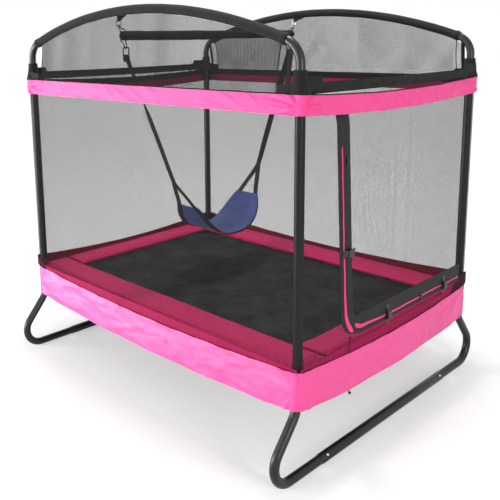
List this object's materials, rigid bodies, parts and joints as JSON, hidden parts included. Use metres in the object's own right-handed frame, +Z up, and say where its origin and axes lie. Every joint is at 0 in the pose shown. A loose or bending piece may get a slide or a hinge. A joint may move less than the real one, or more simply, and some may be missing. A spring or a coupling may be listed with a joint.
{
  "type": "enclosed children's trampoline",
  "caption": "Rectangular children's trampoline on bent tube legs, with a net enclosure, two arched end tubes, a zipped door and a hanging sling swing.",
  "frame": {"origin": "on the ground, at the centre of the four posts", "axes": "+X along the long side, towards the zip door; +Y across, towards the back; +Z up"},
  "size_m": [1.8434, 1.5764, 1.8205],
  "materials": {
    "steel": "satin",
    "socket": "satin",
    "sleeve": "matte",
    "mat": "matte",
    "hem": "matte",
    "lace": "matte",
    "pad": "satin",
    "skirt": "satin",
    "net": "matte",
    "band": "matte",
    "belt": "satin",
    "trim": "matte",
    "zip": "matte",
    "buckle": "satin",
    "metal": "polished",
    "strap": "matte",
    "bar": "matte",
    "seat": "matte"
  },
  "bodies": {
    "frame": {"arch_sleeve_back": "sleeve", "arch_sleeve_front": "sleeve", "arch_tube_back": "steel", "arch_tube_front": "steel", "buckle_bottom_far": "buckle", "buckle_bottom_near": "buckle", "buckle_side": "buckle", "corner_socket_back_left": "socket", "corner_socket_back_right": "socket", "corner_socket_front_left": "socket", "corner_socket_front_right": "socket", "elastic_lacing": "lace", "half_moon_net_back": "net", "half_moon_net_front": "net", "leg_bend_back_left": "steel", "leg_bend_back_right": "steel", "leg_bend_front_left": "steel", "leg_bend_front_right": "steel", "leg_cross_left": "steel", "leg_cross_right": "steel", "long_rail_back": "steel", "long_rail_front": "steel", "net_back": "net", "net_bottom_band": "band", "net_front": "net", "net_left": "net", "net_right": "net", "pad_back": "pad", "pad_front": "pad", "pad_left": "pad", "pad_right": "pad", "post_back_left": "steel", "post_back_right": "steel", "post_front_left": "steel", "post_front_right": "steel", "short_rail_left": "steel", "short_rail_right": "steel", "skirt_back": "skirt", "skirt_front": "skirt", "skirt_left": "skirt", "skirt_right": "skirt", "top_belt": "belt", "top_trim_left": "trim", "top_trim_right": "trim", "zip_tape": "zip"},
    "mat": {"jump_mat": "mat", "mat_hem": "hem"},
    "swing": {"spreader_bar": "bar", "strap_ring_back": "buckle", "strap_ring_front": "buckle", "swing_cord_back": "strap", "swing_cord_front": "strap", "swing_hook_back": "metal", "swing_hook_front": "metal", "swing_seat": "seat", "swing_strap_back": "strap", "swing_strap_front": "strap"},
    "side_slider": {"zip_slider_side": "metal"},
    "bottom_slider": {"zip_slider_bottom": "metal"}
  },
  "joints": [
    {"name": "mat_bounce", "type": "slide", "parent": "frame", "child": "mat", "axis": [0, 0, 1], "range_m": [-0.15, 0], "stiffness_N_per_m": 4000, "springref_m": 0.01, "deforming": ["elastic_lacing"]},
    {"name": "swing_hang", "type": "hinge", "parent": "frame", "child": "swing", "pos_m": [-0.15, 0, 1.7615], "axis": [0, 1, 0], "range_deg": [-45, 32]},
    {"name": "side_zip", "type": "slide", "parent": "frame", "child": "side_slider", "axis": [0, -0.0667, 0.9978], "range_m": [-0.56, 0.12]},
    {"name": "bottom_zip", "type": "slide", "parent": "frame", "child": "bottom_slider", "axis": [0, 1, 0], "range_m": [-0.235, 0.175]}
  ]
}
